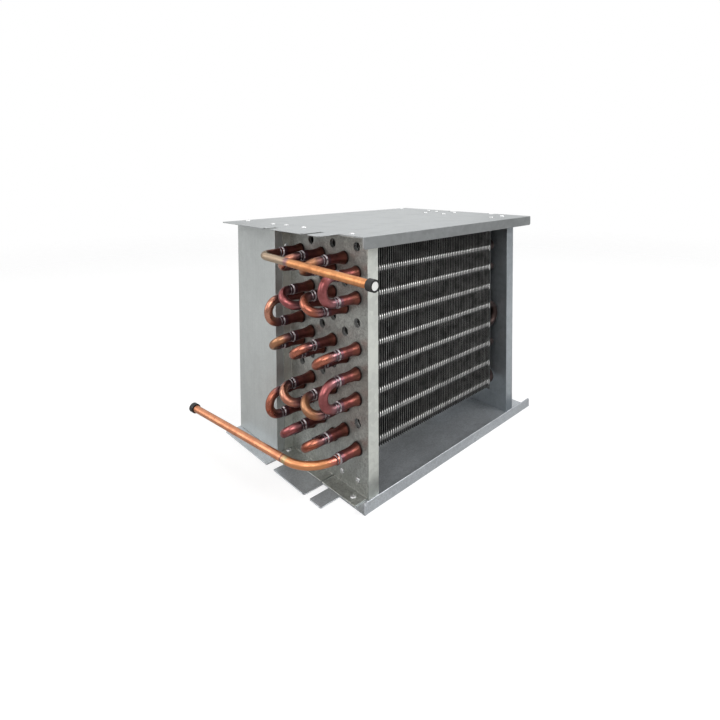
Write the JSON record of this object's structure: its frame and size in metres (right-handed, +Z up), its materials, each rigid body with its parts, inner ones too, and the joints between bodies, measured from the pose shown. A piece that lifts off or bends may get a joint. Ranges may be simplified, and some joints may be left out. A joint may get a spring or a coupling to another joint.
{
  "type": "condenser coil",
  "caption": "Air-cooled condenser coil: finned copper tubes in a galvanised sheet-metal housing with an open back, return bends and two capped connection tubes at one end.",
  "frame": {"origin": "underside of the base pan, at the middle of its outline", "axes": "+Z up, +X along the tubes away from the return bends, -Y towards the finned front face"},
  "size_m": [0.3732, 0.2921, 0.2656],
  "materials": {
    "galvanised_steel": "dull zinc coating with a faint spangle",
    "fin_aluminium": "plain mill finish, dark between the fins",
    "dark_copper": "heat-darkened copper",
    "bright_copper": "bright copper with heat stains at the joints",
    "braze_metal": "dull silver-grey braze",
    "rivet_steel": "plain",
    "black_plastic": "soft gloss black",
    "white_plastic": "smooth and pale"
  },
  "bodies": {
    "root": {"base_pan": "galvanised_steel", "top_cover": "galvanised_steel", "left_tube_sheet": "galvanised_steel", "right_tube_sheet": "galvanised_steel", "right_end_panel": "galvanised_steel", "left_rear_panel": "galvanised_steel", "right_rear_panel": "galvanised_steel", "fins": "fin_aluminium", "braze_rings": "braze_metal", "rivets": "rivet_steel", "upper_tube": "bright_copper", "lower_tube": "bright_copper", "upper_cap": "black_plastic", "lower_cap": "black_plastic", "upper_plug": "white_plastic", "lower_plug": "white_plastic", "hairpin_1": "dark_copper", "hairpin_2": "dark_copper", "hairpin_3": "dark_copper", "hairpin_4": "dark_copper", "hairpin_5": "dark_copper", "hairpin_6": "dark_copper", "hairpin_7": "dark_copper", "hairpin_8": "dark_copper", "hairpin_9": "dark_copper", "hairpin_10": "dark_copper", "hairpin_11": "dark_copper", "hairpin_12": "dark_copper", "hairpin_13": "dark_copper", "hairpin_14": "dark_copper", "hairpin_15": "dark_copper", "hairpin_16": "dark_copper", "return_bend_1": "bright_copper", "return_bend_2": "bright_copper", "return_bend_3": "bright_copper", "return_bend_4": "bright_copper", "return_bend_5": "bright_copper", "return_bend_6": "bright_copper", "return_bend_7": "bright_copper", "return_bend_8": "bright_copper", "return_bend_9": "bright_copper", "return_bend_10": "bright_copper", "return_bend_11": "bright_copper", "return_bend_12": "bright_copper", "return_bend_13": "bright_copper", "return_bend_14": "bright_copper", "return_bend_15": "bright_copper"}
  },
  "joints": []
}
